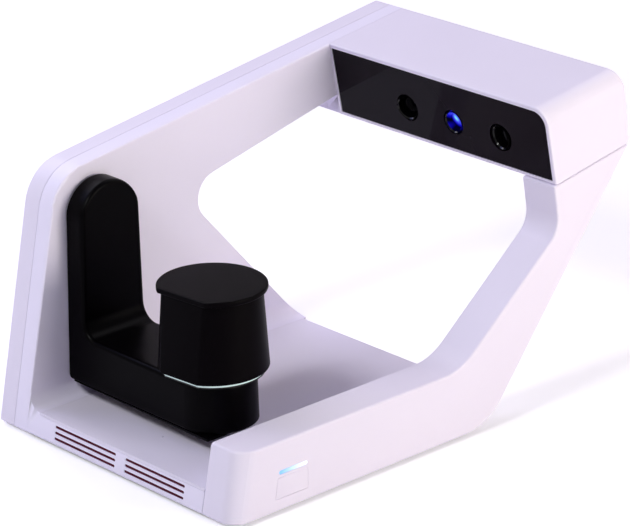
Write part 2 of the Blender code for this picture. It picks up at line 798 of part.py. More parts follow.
def make_power_button():
    """The key, with the flange behind the wall that keeps it in."""
    back = WIDTH - WALL - SEAM - BUTTON_FLANGE_THICK
    layers = [(back, -BUTTON_FLANGE), (back + BUTTON_FLANGE_THICK, -BUTTON_FLANGE)]
    layers += [(back + BUTTON_FLANGE_THICK, BUTTON_GAP), (WIDTH - BUTTON_BEVEL, BUTTON_GAP)]
    layers += [(WIDTH, BUTTON_GAP + BUTTON_BEVEL)]
    return layered("power_button", list(BUTTON_CORNERS), layers, on_flank, white_shell("button"))


def make_power_switch():
    """The push switch behind the key, standing on the inner panel."""
    low = RIGHT_INNER_X + SEAM + RIGHT_PANEL_THICK + SEAM
    high = WIDTH - WALL - SEAM - BUTTON_FLANGE_THICK - BUTTON_TRAVEL_ROOM
    middle_y = sum(c[0] for c in BUTTON_CORNERS) / 4
    middle_z = sum(c[1] for c in BUTTON_CORNERS) / 4
    start = (middle_y - SWITCH_HALF_Y, middle_z - SWITCH_HALF_Z)
    end = (middle_y + SWITCH_HALF_Y, middle_z + SWITCH_HALF_Z)
    corners = box_corners(*start, *end, SWITCH_CORNER)
    stem = SWITCH_HALF_Z / 2
    layers = [(low, 0), (high - SWITCH_STEM, 0), (high - SWITCH_STEM, stem), (high, stem)]
    return layered("power_switch", corners, layers, on_flank, black_satin("switch"))


def socket_frames():
    """Frames of the two sockets: u across, v up the slope, w into the flank."""
    foot = Vector((0, BASE_REAR_BOTTOM[0], BASE_REAR_BOTTOM[1]))
    head = Vector((0, SEAM_REAR[0], SEAM_REAR[1]))
    slope = (head - foot).normalized()
    inward = Vector((0, -slope.z, slope.y))
    middle_x = (RIGHT_INNER_X + WIDTH) / 2
    frames = []
    for up in (USB_UP, JACK_UP):
        origin = foot + slope * up
        origin.x = middle_x
        frames.append(Leaning(origin, slope, inward))
    return frames


def usb_outline(grow=0.0):
    return inset_outline(box_corners(-USB_HALF_X, -USB_HALF_UP, USB_HALF_X, USB_HALF_UP, USB_CORNER), -grow)


def make_usb_port():
    """A square data socket: a metal shell with a flange behind the wall, and a tongue in its mouth."""
    place = socket_frames()[0]
    tongue = USB_SHELL + USB_TONGUE_GAP
    layers = [(USB_TONGUE_SET_BACK, tongue), (USB_MOUTH_DEPTH, tongue), (USB_MOUTH_DEPTH, USB_SHELL)]
    layers += [(SEAM, USB_SHELL), (SEAM, 0), (WALL + SEAM, 0)]
    layers += [(WALL + SEAM, -USB_FLANGE), (USB_DEPTH, -USB_FLANGE)]
    steel = material("socket steel", (0.6, 0.6, 0.62), 0.3, 1.0)
    return layered("usb_port", usb_outline(), layers, place, steel)


def make_power_jack():
    """A round power socket with its centre pin."""
    place = socket_frames()[1]
    flange = JACK_RADIUS + JACK_FLANGE
    shoulder = JACK_PIN_SET_BACK + JACK_PIN_CHAMFER
    profile = [(0, JACK_PIN_SET_BACK), (JACK_PIN_RADIUS, shoulder), (JACK_PIN_RADIUS, JACK_BORE_DEPTH)]
    profile += [(JACK_BORE_RADIUS, JACK_BORE_DEPTH), (JACK_BORE_RADIUS, SEAM), (JACK_RADIUS, SEAM)]
    profile += [(JACK_RADIUS, WALL + SEAM), (flange, WALL + SEAM), (flange, JACK_DEPTH), (0, JACK_DEPTH)]
    return turned("power_jack", profile, place, black_satin("power jack"))


# Head


def head_outline():
    """The head in side view. Its sides are the front, the top, the back and the underside."""
    return [HEAD_FRONT_BOTTOM, HEAD_FRONT_TOP, HEAD_REAR_TOP, HEAD_REAR_BOTTOM]


def head_insets(distance):
    """The sides of the head at a distance from its right end: a large round on top, softer elsewhere."""
    top = edge_round(HEAD_END_ROUND, distance)
    soft = edge_round(HEAD_EDGE_ROUND, distance)
    return [soft, top, soft, soft]


def make_head_cover():
    """The camera head's cover, open at the front for the glass."""
    distances = sorted(round_distances(HEAD_END_ROUND, 8) + round_distances(HEAD_EDGE_ROUND, 3)[1:])
    layers = [(WIDTH - d, head_insets(d)) for d in distances]
    layers += [(HEAD_LEFT_X, 0)]
    cover = layered("head_cover", head_outline(), layers, on_flank, white_shell("head cover"))
    inner_round = HEAD_END_ROUND - LIP_TOP
    hollow_layers = []
    for d in round_distances(inner_round, 8):
        top = LIP_TOP + edge_round(inner_round, d)
        hollow_layers.append((WIDTH - LIP_RIGHT - d, [-BEYOND, top, WALL, LIP_BOTTOM]))
    hollow_layers.append((HEAD_LEFT_X + LIP_LEFT, [-BEYOND, LIP_TOP, WALL, LIP_BOTTOM]))
    hollow = layered("head_hollow", head_outline(), hollow_layers, on_flank, None)
    return cut(cover, hollow)


def glass_frame():
    """The head's front plane: u along X, v down the glass, w into the head."""
    top = Vector((0, HEAD_FRONT_TOP[0], HEAD_FRONT_TOP[1]))
    down = Vector((0, HEAD_FRONT_BOTTOM[0], HEAD_FRONT_BOTTOM[1])) - top
    inward = Vector((0, -down.z, down.y))
    return Leaning(top, down, inward)


def front_height():
    """The head's front measured along its slope."""
    return math.dist(HEAD_FRONT_TOP[:2], HEAD_FRONT_BOTTOM[:2])


def make_glass_panel():
    """The dark front glass with three round windows."""
    left = HEAD_LEFT_X + LIP_LEFT + SEAM
    right = WIDTH - LIP_RIGHT - SEAM
    upper = LIP_TOP + SEAM
    lower = front_height() - LIP_BOTTOM - SEAM
    corners = [
        (left, upper, GLASS_CORNER),
        (left, lower, GLASS_CORNER),
        (right, lower, GLASS_CORNER),
        (right, upper, HEAD_END_ROUND - LIP_TOP - SEAM),
    ]
    back = GLASS_SET_BACK + GLASS_THICK
    layers = [(GLASS_SET_BACK, GLASS_BEVEL), (GLASS_SET_BACK + GLASS_BEVEL, 0), (back, 0)]
    place = glass_frame()
    dark = material("dark glass", (0.012, 0.010, 0.013), 0.06)
    glass = layered("glass_panel", corners, layers, place, dark)
    for name, x, radius in windows():
        spot = moved(place, x, OPTICS_DOWN)
        cut(glass, cylinder(f"{name}_window", radius, -BEYOND, back + BEYOND, spot, None))
    return glass


def windows():
    """The three round windows: name, place across and radius."""
    return (
        ("camera_left", OPTICS_X - OPTICS_PITCH, CAMERA_HOLE_RADIUS),
        ("projector", OPTICS_X, PROJECTOR_HOLE_RADIUS),
        ("camera_right", OPTICS_X + OPTICS_PITCH, CAMERA_HOLE_RADIUS),
    )


def make_optics_bracket():
    """An angle of black sheet: a plate behind the glass and a shelf that carries the optics."""
    place = glass_frame()
    plate_w = GLASS_SET_BACK + GLASS_THICK + SEAM
    shelf_v = OPTICS_DOWN + PROJECTOR_BODY_HALF + SEAM
    upper = LIP_TOP + SEAM * 2
    lower = front_height() - LIP_BOTTOM - SEAM * 2
    section = [
        (upper, plate_w),
        (upper, plate_w + BRACKET_THICK),
        (shelf_v, plate_w + BRACKET_THICK),
        (shelf_v, plate_w + BRACKET_SHELF_DEPTH),
        (shelf_v + BRACKET_SHELF_THICK, plate_w + BRACKET_SHELF_DEPTH),
        (shelf_v + BRACKET_SHELF_THICK, plate_w + BRACKET_THICK),
        (lower, plate_w + BRACKET_THICK),
        (lower, plate_w),
    ]
    left = HEAD_LEFT_X + LIP_LEFT + SEAM * 2
    rings = [[place(x, v, w) for v, w in section] for x in (left, BRACKET_RIGHT_X)]
    bracket = skin("optics_bracket", rings, black_satin("bracket"))
    for name, x, radius in windows():
        spot = moved(place, x, OPTICS_DOWN)
        wide = radius + BRACKET_HOLE_GAP
        hole = cylinder(f"{name}_bracket_hole", wide, plate_w - BEYOND, plate_w + BEYOND, spot, None)
        cut(bracket, hole)
    return bracket


def optic_frame(x, toe_in):
    """A frame on a window's centre, with w along the optical axis into the head."""
    flat = glass_frame()
    origin = flat(x, OPTICS_DOWN, 0)
    across = Vector((math.cos(toe_in), 0, 0)) - flat.inward * math.sin(toe_in)
    axis = flat.inward * math.cos(toe_in) + Vector((math.sin(toe_in), 0, 0))
    return lambda u, v, w: origin + across * u + flat.slope * v + axis * w


def make_optics():
    """Two cameras, toed in toward the model, and the projector between them."""
    toes = {"camera_left": -CAMERA_TOE_IN, "projector": 0.0, "camera_right": CAMERA_TOE_IN}
    for name, x, window in windows():
        place = optic_frame(x, toes[name])
        outer = window - BARREL_GAP
        bore = outer - BARREL_WALL
        seat = bore - LENS_LEDGE
        well = seat - LENS_WELL_LEDGE
        front = BARREL_FRONT
        seat_start = front + FUNNEL_DEPTH
        seat_end = seat_start + LENS_SEAT_DEPTH
        well_end = seat_end + LENS_WELL_DEPTH
        back = front + BARREL_LENGTH
        profile = [(0, well_end), (well, well_end), (well, seat_end), (seat, seat_end)]
        profile += [(seat, seat_start), (bore, front), (outer - BARREL_CHAMFER, front)]
        profile += [(outer, front + BARREL_CHAMFER), (outer, back), (0, back)]
        turned(f"{name}_barrel", profile, place, black_satin("lens barrel"))

        rim = seat - SEAM
        rear = seat_end - SEAM
        lens_profile = [(0, rear), (rim, rear)]
        for k in range(LENS_STEPS):
            angle = math.pi / 2 * k / LENS_STEPS
            lens_profile.append((rim * math.cos(angle), rear - LENS_RIM_THICK - LENS_BULGE * math.sin(angle)))
        lens_profile.append((0, rear - LENS_RIM_THICK - LENS_BULGE))
        tint = (0.10, 0.14, 0.45) if name == "projector" else (0.02, 0.02, 0.03)
        turned(f"{name}_lens", lens_profile, place, material(f"{name} lens", tint, 0.05))

        half = PROJECTOR_BODY_HALF if name == "projector" else CAMERA_BODY_HALF
        start = back + SEAM
        lower = PROJECTOR_BODY_HALF
        corners = box_corners(-half, -half, half, lower, OPTIC_BODY_CORNER)
        bevel = OPTIC_BODY_BEVEL
        layers = [(start, bevel), (start + bevel, 0)]
        layers += [(start + OPTIC_BODY_DEPTH - bevel, 0), (start + OPTIC_BODY_DEPTH, bevel)]
        layered(f"{name}_body", corners, layers, place, material("optic body", (0.3, 0.3, 0.32), 0.4, 0.8))


# Swing arm


def drafted(target):
    """Leans the side faces and the round end of an arm piece inward toward the top."""
    for vertex in target.data.vertices:
        share = 1 - ARM_DRAFT * (vertex.co.z - ARM_BOTTOM_Z) / ARM_HALF_WIDTH
        vertex.co.y = PIVOT_Y + (vertex.co.y - PIVOT_Y) * share
        if vertex.co.x > ARM_END_X:
            vertex.co.x = ARM_END_X + (vertex.co.x - ARM_END_X) * share
    return target


def arm_section(offset):
    """The arm's L outline seen from the front, at an offset from its middle plane, before the draft."""
    side = ARM_HALF_WIDTH - abs(offset)
    soft = edge_round(ARM_EDGE_ROUND, side)
    slight = edge_round(ARM_SLIGHT_ROUND, side)
    share = math.sqrt(max(1 - (offset / ARM_HALF_WIDTH) ** 2, 0.0))
    end_x = ARM_END_X + ARM_HALF_WIDTH * share
    head_z = PIVOT_Z + ARM_HEAD_RADIUS * share
    corners = [
        (ARM_BACK_X, ARM_BOTTOM_Z, ARM_EDGE_ROUND),
        (end_x, ARM_BOTTOM_Z, ARM_SLIGHT_ROUND),
        (end_x, ARM_TOP_Z, ARM_EDGE_ROUND),
        (ARM_FRONT_X, ARM_TOP_Z, ARM_INNER_FILLET),
        (ARM_FRONT_X, head_z, ARM_EDGE_ROUND),
        (ARM_BACK_X, head_z, ARM_SLIGHT_ROUND),
    ]
    steps = outline_steps(corners)
    return rounded(inset_outline(corners, [slight, 0, soft, soft, 0, slight]), steps)


def make_arm_housing():
    """The L of the swing arm, hollow, with an open back and an open underside."""
    rings = []
    for k in range(ARM_RINGS + 1):
        offset = -ARM_HALF_WIDTH * math.cos(math.pi * k / ARM_RINGS)
        points = arm_section(offset)
        rings.append([on_front(p.x, p.y, PIVOT_Y + offset) for p in points])
    housing = drafted(skin("arm_housing", rings, black_satin("arm")))
    back = prism("arm_back_hollow", upright_outline(), ARM_BACK_X - BEYOND, ARM_FRONT_X - ARM_WALL, on_flank, None)
    under = prism("arm_under_hollow", level_outline(), ARM_BOTTOM_Z - BEYOND, ARM_TOP_Z - ARM_WALL, on_plan, None)
    table = moved(on_plan, TABLE_X, PIVOT_Y)
    spindle_hole = cylinder("spindle_hole", SPINDLE_HOLE_RADIUS, ARM_TOP_Z - BEYOND, ARM_TOP_Z + BEYOND, table, None)
    return cut(housing, drafted(back), drafted(under), spindle_hole)


def upright_outline(inset=0.0):
    """The hollow of the upright leg, seen from the side, before the draft."""
    half = ARM_HALF_WIDTH - ARM_WALL
    low = ARM_BOTTOM_Z + ARM_CORNER_BAR
    high = PIVOT_Z + ARM_HEAD_RADIUS - ARM_WALL
    corners = [
        (PIVOT_Y - half, low, ARM_HOLLOW_CORNER),
        (PIVOT_Y + half, low, ARM_HOLLOW_CORNER),
        (PIVOT_Y + half, high, half * NEARLY_FULL),
        (PIVOT_Y - half, high, half * NEARLY_FULL),
    ]
    return inset_outline(corners, inset)


def level_outline():
    """The hollow of the level leg, seen from above, before the draft."""
    half = ARM_HALF_WIDTH - LEVEL_WALL
    near = ARM_BACK_X + LEVEL_WALL
    return [
        (near, PIVOT_Y - half, ARM_HOLLOW_CORNER),
        (ARM_END_X + half, PIVOT_Y - half, half * NEARLY_FULL),
        (ARM_END_X + half, PIVOT_Y + half, half * NEARLY_FULL),
        (near, PIVOT_Y + half, ARM_HOLLOW_CORNER),
    ]


def make_arm_plates():
    """The plate that closes the arm's back, and the square cornered cover under its level leg."""
    start = ARM_BACK_X + SEAM
    look = black_satin("arm plates")
    back = prism("arm_back_plate", upright_outline(SEAM), start, start + ARM_PLATE_THICK, on_flank, look)
    drafted(back)
    pivot = moved(on_flank, PIVOT_Y, PIVOT_Z)
    hole = cylinder("back_plate_hole", SHAFT_RADIUS + BEARING_GAP, 0, ARM_FRONT_X, pivot, None)
    cut(back, hole)
    high = ARM_BOTTOM_Z - SEAM
    half = ARM_HALF_WIDTH - SEAM
    corners = [
        (COVER_START_X, PIVOT_Y - half, COVER_NEAR_ROUND),
        (COVER_END_X, PIVOT_Y - half, COVER_SQUARE_ROUND),
        (COVER_END_X, PIVOT_Y + half, COVER_FAR_ROUND),
        (COVER_START_X, PIVOT_Y + half, COVER_NEAR_ROUND),
    ]
    low = high - COVER_THICK
    layers = [(low, COVER_BEVEL), (low + COVER_BEVEL, 0), (high, 0)]
    layered("arm_bottom_plate", corners, layers, on_plan, look)


def make_swing_drive():
    """Shaft, worm gearbox and motor. The shaft turns with the arm, the rest stays in the wall."""
    pivot = moved(on_flank, PIVOT_Y, PIVOT_Z)
    hub_left = ARM_BACK_X + SEAM + ARM_PLATE_THICK + SEAM
    steel = material("shaft steel", (0.55, 0.55, 0.57), 0.3, 1.0)
    profile = [(0, SHAFT_LEFT_X), (SHAFT_RADIUS, SHAFT_LEFT_X), (SHAFT_RADIUS, hub_left)]
    profile += [(HUB_RADIUS, hub_left), (HUB_RADIUS, hub_left + HUB_THICK), (0, hub_left + HUB_THICK)]
    turned("swing_shaft", profile, pivot, steel)

    left = WALL + SEAM
    right = LEFT_WIDTH - WALL - SEAM
    start = (PIVOT_Y - GEARBOX_HALF_Y, PIVOT_Z - GEARBOX_HALF_Z)
    end = (PIVOT_Y + GEARBOX_HALF_Y, PIVOT_Z + GEARBOX_HALF_Z)
    corners = box_corners(*start, *end, GEARBOX_CORNER)
    cast = material("gearbox alloy", (0.45, 0.45, 0.47), 0.45, 1.0)
    box = prism("swing_gearbox", corners, left, right, on_flank, cast)
    clear = SHAFT_RADIUS + BEARING_GAP
    bore = cylinder("gearbox_bore", clear, SHAFT_LEFT_X - SEAM, right + BEYOND, pivot, None)
    cut(box, bore)

    top = PIVOT_Z - GEARBOX_HALF_Z - SEAM
    spot = moved(on_plan, (left + right) / 2, PIVOT_Y)
    neck = SWING_MOTOR_NECK
    shoulder = top - SWING_MOTOR_NECK_LENGTH
    profile = [(0, top - SWING_MOTOR_LENGTH), (SWING_MOTOR_RADIUS, top - SWING_MOTOR_LENGTH)]
    profile += [(SWING_MOTOR_RADIUS, shoulder), (neck, shoulder), (neck, top), (0, top)]
    turned("swing_motor", profile, spot, material("motor steel", (0.35, 0.35, 0.37), 0.35, 1.0))


# Turntable


def faceted(radius, half_angle, z):
    """A circle around the turntable axis with one flat side toward the front."""
    points = []
    for k in range(FACETED_STEPS + 1):
        angle = FACET_HEADING + half_angle + (2 * math.pi - 2 * half_angle) * k / FACETED_STEPS
        points.append(Vector((TABLE_X + radius * math.cos(angle), PIVOT_Y + radius * math.sin(angle), z)))
    return points


def make_table_drive():
    """The turntable's motor in the arm, and the spindle with its hub."""
    table = moved(on_plan, TABLE_X, PIVOT_Y)
    low = ARM_BOTTOM_Z
    high = low + TABLE_MOTOR_HEIGHT
    cylinder(
        "turntable_motor", TABLE_MOTOR_RADIUS, low, high, table, material("motor steel", (0.35, 0.35, 0.37), 0.35, 1.0)
    )
    steel = material("shaft steel", (0.55, 0.55, 0.57), 0.3, 1.0)
    profile = [(0, high + SEAM), (SPINDLE_RADIUS, high + SEAM), (SPINDLE_RADIUS, RING_BOTTOM_Z)]
    profile += [(TABLE_HUB_RADIUS, RING_BOTTOM_Z), (TABLE_HUB_RADIUS, RING_TOP_Z), (0, RING_TOP_Z)]
    turned("turntable_hub", profile, table, steel)


def make_light_ring():
    """The lit disc that shows as a thin line under the cup."""
    inner = TABLE_HUB_RADIUS + SEAM
    rings = [
        faceted(inner, LEAST_RADIUS, RING_BOTTOM_Z),
        faceted(RING_RADIUS, FACET_HALF_BOTTOM, RING_BOTTOM_Z),
        faceted(RING_RADIUS, FACET_HALF_BOTTOM, RING_TOP_Z),
        faceted(inner, LEAST_RADIUS, RING_TOP_Z),
    ]
    glow = material("light ring", (0.75, 0.88, 0.95), 0.4, glow=(0.7, 0.85, 0.95))
    return skin("light_ring", rings, glow, closed_ring=True)


def make_model_cup():
    """The tapered cup that lifts the model, with its flat front, open on top."""
    soft = CUP_EDGE_ROUND
    halfway = soft * HALFWAY_ROUND
    rings = [
        faceted(CUP_BOTTOM_RADIUS - soft, FACET_HALF_BOTTOM, CUP_BOTTOM_Z),
        faceted(CUP_BOTTOM_RADIUS - halfway, FACET_HALF_BOTTOM, CUP_BOTTOM_Z + halfway),
        faceted(CUP_BOTTOM_RADIUS, FACET_HALF_BOTTOM, CUP_BOTTOM_Z + soft),
        faceted(CUP_TOP_RADIUS, FACET_HALF_TOP, CUP_TOP_Z),
        faceted(CUP_TOP_RADIUS - CUP_WALL, FACET_HALF_TOP, CUP_TOP_Z),
        faceted(CUP_BOTTOM_RADIUS - CUP_WALL, FACET_HALF_BOTTOM, CUP_BOTTOM_Z + CUP_FLOOR),
    ]
    return skin("model_cup", rings, black_satin("cup"))


def make_model_plate():
    """The disc that carries the model, with the cup's flat front and a spigot into the cup."""
    low = CUP_TOP_Z + SEAM
    spigot = CUP_TOP_RADIUS - CUP_WALL - SEAM * 3
    soft = PLATE_EDGE_ROUND
    halfway = soft * HALFWAY_ROUND
    rings = [
        faceted(spigot - soft / 2, FACET_HALF_TOP, low - SPIGOT_DEPTH),
        faceted(spigot, FACET_HALF_TOP, low - SPIGOT_DEPTH + soft / 2),
        faceted(spigot, FACET_HALF_TOP, low),
        faceted(PLATE_RADIUS - soft, PLATE_FACET_HALF, low),
        faceted(PLATE_RADIUS - halfway, PLATE_FACET_HALF, low + halfway),
        faceted(PLATE_RADIUS, PLATE_FACET_HALF, low + soft),
        faceted(PLATE_RADIUS, PLATE_FACET_HALF, PLATE_TOP_Z - soft / 2),
        faceted(PLATE_RADIUS - soft / 2, PLATE_FACET_HALF, PLATE_TOP_Z),
    ]
    return skin("model_plate", rings, black_satin("model plate"))


# The whole scanner

make_left_outer_cover()
make_left_inner_shell()
make_floor_panel()
make_bottom_plate()
make_main_board()
make_feet()
make_right_arm_shell()
make_right_arm_panel()
make_light_bar()
make_power_button()
make_power_switch()
make_usb_port()
make_power_jack()
make_head_cover()
make_glass_panel()
make_optics_bracket()
make_optics()
make_arm_housing()
make_arm_plates()
make_swing_drive()
make_table_drive()
make_light_ring()
make_model_cup()
make_model_plate()


def set_origin(name, point):
    """Moves an object's origin without moving its shape."""
    target = bpy.data.objects[name]
    target.data.transform(Matrix.Translation(-Vector(point)))
    target.location = Vector(point)


pivot_point = (ARM_BACK_X, PIVOT_Y, PIVOT_Z)
for piece in ("arm_housing", "arm_back_plate", "arm_bottom_plate", "swing_shaft", "turntable_motor"):
    set_origin(piece, pivot_point)
table_point = (TABLE_X, PIVOT_Y, ARM_TOP_Z)
for piece in ("turntable_hub", "light_ring", "model_cup", "model_plate"):
    set_origin(piece, table_point)
set_origin("power_button", (WIDTH, BUTTON_CORNERS[0][0], BUTTON_CORNERS[0][1]))

bpy.context.view_layer.update()
corner_points = [
    item.matrix_world @ vertex.co
    for item in bpy.data.objects
    if not item.hide_render
    for vertex in item.data.vertices
]
lowest = Vector([min(point[axis] for point in corner_points) for axis in range(3)])
highest = Vector([max(point[axis] for point in corner_points) for axis in range(3)])
middle = (lowest + highest) / 2
for item in bpy.data.objects:
    item.location -= Vector((middle.x, middle.y, lowest.z))
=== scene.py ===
import math

import bpy
from mathutils import Matrix, Vector


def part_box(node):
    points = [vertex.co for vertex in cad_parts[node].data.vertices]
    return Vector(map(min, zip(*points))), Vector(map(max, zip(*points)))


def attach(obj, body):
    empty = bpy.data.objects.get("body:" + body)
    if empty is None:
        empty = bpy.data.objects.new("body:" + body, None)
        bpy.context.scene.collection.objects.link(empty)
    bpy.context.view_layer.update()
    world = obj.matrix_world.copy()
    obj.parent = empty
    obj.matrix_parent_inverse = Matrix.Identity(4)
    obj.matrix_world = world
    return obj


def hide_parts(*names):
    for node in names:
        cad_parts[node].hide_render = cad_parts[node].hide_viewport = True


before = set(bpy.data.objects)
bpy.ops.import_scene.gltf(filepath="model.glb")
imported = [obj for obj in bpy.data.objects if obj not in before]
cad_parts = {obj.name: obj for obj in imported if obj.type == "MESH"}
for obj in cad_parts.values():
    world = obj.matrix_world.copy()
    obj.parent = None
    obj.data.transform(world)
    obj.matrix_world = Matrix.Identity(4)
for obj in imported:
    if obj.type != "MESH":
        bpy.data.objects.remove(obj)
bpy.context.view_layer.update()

bpy.ops.object.select_all(action="DESELECT")
scene = bpy.context.scene
scene.view_settings.view_transform = "Standard"

# The camera stands to the front right, well above the base, with a long lens,
# so that the edges of the machine run almost parallel. Its turn is the rotation vector that
# takes the room's axes to right, down and forward as the camera has them.
LENS_MM = 190.04
SENSOR_MM = 36
CAMERA_PLACE = Vector((1.5839, -1.45731, 0.9369))
CAMERA_TURN = Vector((1.8195, 0.7850, -0.5527))
FARTHEST_SEEN = 20
camera_data = bpy.data.cameras.new("camera")
camera_data.lens = LENS_MM
camera_data.sensor_width = SENSOR_MM
camera_data.clip_end = FARTHEST_SEEN
camera = bpy.data.objects.new("camera", camera_data)
scene.collection.objects.link(camera)
look = Matrix.Rotation(CAMERA_TURN.length, 3, CAMERA_TURN.normalized())
axes = Matrix((look[0], -look[1], -look[2])).transposed()
camera.matrix_world = Matrix.Translation(CAMERA_PLACE) @ axes.to_4x4()
scene.camera = camera

# Soft boxes: square white diffusers round the machine, all turned to its middle. Each is given
# by its bearing from the right and its height in degrees, its distance and its side in metres,
# its power in watts and the colour of its light.
SOFT_BOXES = {
    "right_box": (8, 10, 1.9, 0.7, 11.8, (1.0, 0.955, 0.80)),
    "right_edge_box": (20, 12, 1.9, 0.38, 3.4, (0.90, 0.76, 0.92)),
    "right_near_box": (15, 10, 0.95, 0.35, 1.25, (1.0, 1.0, 0.70)),
    "right_high_box": (15, 30, 0.95, 0.35, 0.92, (0.88, 0.90, 0.95)),
    "right_back_box": (60, 20, 1.0, 0.35, 1.0, (1.0, 0.78, 0.66)),
    "front_key_box": (-84, 45, 1.9, 0.38, 15.8, (0.98, 1.0, 0.99)),
    "front_side_box": (-115, 28, 1.9, 0.7, 2.8, (1.0, 0.97, 0.96)),
    "front_left_box": (-150, 38, 1.9, 0.7, 3.8, (0.42, 0.46, 1.0)),
    "left_high_box": (180, 45, 1.9, 1.2, 16.3, (0.89, 0.855, 1.0)),
    "back_high_box": (95, 50, 1.9, 1.2, 8.3, (0.96, 0.92, 1.0)),
}
MIDDLE = Vector((0, 0, 0.09))
for box_name, (bearing, height, away, side, power, colour) in SOFT_BOXES.items():
    level = math.cos(math.radians(height))
    direction = Vector((
        math.cos(math.radians(bearing)) * level,
        math.sin(math.radians(bearing)) * level,
        math.sin(math.radians(height)),
    ))
    box_data = bpy.data.lights.new(box_name, "AREA")
    box_data.size = side
    box_data.energy = power
    box_data.color = colour
    box = bpy.data.objects.new(box_name, box_data)
    scene.collection.objects.link(box)
    box.location = MIDDLE + direction * away
    box.rotation_euler = (-direction).to_track_quat("-Z", "Y").to_euler()

# Studio room: white to whatever looks at it, and greyer in a reflection. As a light it is
# nearly dark, and only lends the machine a little even light between the soft boxes.
ROOM_WHITE = (1, 1, 1, 1)
ROOM_LIGHT = (0.90, 0.89, 1.0, 1)
ROOM_STRENGTH = 0.005
ROOM_IN_REFLECTIONS = 0.4


def wire(tree, start, end):
    """Joins an output of one node to an input of another."""
    tree.links.new(start, end)


def seen_directly(tree):
    """1 for what the camera, a reflection or a glass looks at, and 0 for light on things."""
    rays = tree.nodes.new("ShaderNodeLightPath")
    camera_or_gloss = tree.nodes.new("ShaderNodeMath")
    camera_or_gloss.operation = "ADD"
    wire(tree, rays.outputs["Is Camera Ray"], camera_or_gloss.inputs[0])
    wire(tree, rays.outputs["Is Glossy Ray"], camera_or_gloss.inputs[1])
    any_look = tree.nodes.new("ShaderNodeMath")
    any_look.operation = "ADD"
    any_look.use_clamp = True
    wire(tree, camera_or_gloss.outputs[0], any_look.inputs[0])
    wire(tree, rays.outputs["Is Transmission Ray"], any_look.inputs[1])
    return any_look.outputs[0]


room = bpy.data.worlds.new("studio_room")
scene.world = room
room.use_nodes = True
walls = room.node_tree
walls.nodes.clear()
even_light = walls.nodes.new("ShaderNodeBackground")
even_light.inputs["Color"].default_value = ROOM_LIGHT
even_light.inputs["Strength"].default_value = ROOM_STRENGTH
white_wall = walls.nodes.new("ShaderNodeBackground")
white_wall.inputs["Color"].default_value = ROOM_WHITE
either = walls.nodes.new("ShaderNodeMixShader")
wire(walls, seen_directly(walls), either.inputs["Fac"])
room_rays = walls.nodes.new("ShaderNodeLightPath")
mirrored = walls.nodes.new("ShaderNodeMapRange")
mirrored.inputs["To Min"].default_value = 1
mirrored.inputs["To Max"].default_value = ROOM_IN_REFLECTIONS
wire(walls, room_rays.outputs["Is Glossy Ray"], mirrored.inputs["Value"])
wire(walls, mirrored.outputs["Result"], white_wall.inputs["Strength"])
wire(walls, even_light.outputs[0], either.inputs[1])
wire(walls, white_wall.outputs[0], either.inputs[2])
room_out = walls.nodes.new("ShaderNodeOutputWorld")
wire(walls, either.outputs[0], room_out.inputs["Surface"])

# Paper on the floor: a large matt white sheet that keeps the machine's shadow. To the camera
# alone it is lifted a little, and wholly to white far away, where it meets the room.
PAPER_SIDE = 9.0
PAPER_WHITE = (0.90, 0.89, 0.93, 1)
PAPER_ROUGHNESS = 0.9
PAPER_GLOSS = 0.1
PAPER_LIFT = 0.30
FAR_PAPER_LIFT = 1.0
PAPER_NEAR = 0.7
PAPER_FAR = 2.2
bpy.ops.mesh.primitive_plane_add(size=PAPER_SIDE, location=(0, 0, 0))
studio_floor = bpy.context.object
studio_floor.name = "studio_floor"
paper = bpy.data.materials.new("studio_paper")
paper.use_nodes = True
paper_tree = paper.node_tree
paper_face = paper_tree.nodes["Principled BSDF"]
paper_face.inputs["Base Color"].default_value = PAPER_WHITE
paper_face.inputs["Roughness"].default_value = PAPER_ROUGHNESS
paper_face.inputs["Specular IOR Level"].default_value = PAPER_GLOSS
paper_face.inputs["Emission Color"].default_value = ROOM_WHITE
paper_place = paper_tree.nodes.new("ShaderNodeTexCoord")
paper_reach = paper_tree.nodes.new("ShaderNodeVectorMath")
paper_reach.operation = "LENGTH"
wire(paper_tree, paper_place.outputs["Object"], paper_reach.inputs[0])
fade = paper_tree.nodes.new("ShaderNodeMapRange")
fade.inputs["From Min"].default_value = PAPER_NEAR
fade.inputs["From Max"].default_value = PAPER_FAR
fade.inputs["To Min"].default_value = PAPER_LIFT
fade.inputs["To Max"].default_value = FAR_PAPER_LIFT
wire(paper_tree, paper_reach.outputs["Value"], fade.inputs["Value"])
paper_rays = paper_tree.nodes.new("ShaderNodeLightPath")
lift = paper_tree.nodes.new("ShaderNodeMath")
lift.operation = "MULTIPLY"
wire(paper_tree, paper_rays.outputs["Is Camera Ray"], lift.inputs[0])
wire(paper_tree, fade.outputs["Result"], lift.inputs[1])
wire(paper_tree, lift.outputs[0], paper_face.inputs["Emission Strength"])
studio_floor.data.materials.append(paper)
studio_floor.select_set(False)

# Left flank: two half shells moulded in white ABS, an outer cover and an inner shell.
# They clip together along a parting line that runs all round the edge of the C.
SHELL_WHITE = (0.80, 0.745, 0.90)
# The inner shell's white is lighter and bluer than the cover's. This is painted light that
# brightens the inner wall of the C.
INNER_WHITE_PAINTED_LIGHT = (0.838, 0.788, 0.965)
SHELL_FINISH = {"roughness": 0.42, "gloss": 0.35, "grain": 1500, "depth": 0.00003}
CLOUD_SCALE = 18
CLOUD_DETAIL = 3
MIX_LOW = 6
MIX_HIGH = 7
MIX_RESULT = 2
GRAIN_DETAIL = 2
GRAIN_STRENGTH = 0.35
SHEEN_SWING = 0.1
WELD = 0.000002
CREASE = math.radians(32)
FACE_WEIGHT = 80


def noise(tree, place, scale, detail):
    """Cloudy noise on the piece's own coordinates."""
    cloud = tree.nodes.new("ShaderNodeTexNoise")
    cloud.inputs["Scale"].default_value = scale
    cloud.inputs["Detail"].default_value = detail
    wire(tree, place, cloud.inputs["Vector"])
    return cloud.outputs["Fac"]


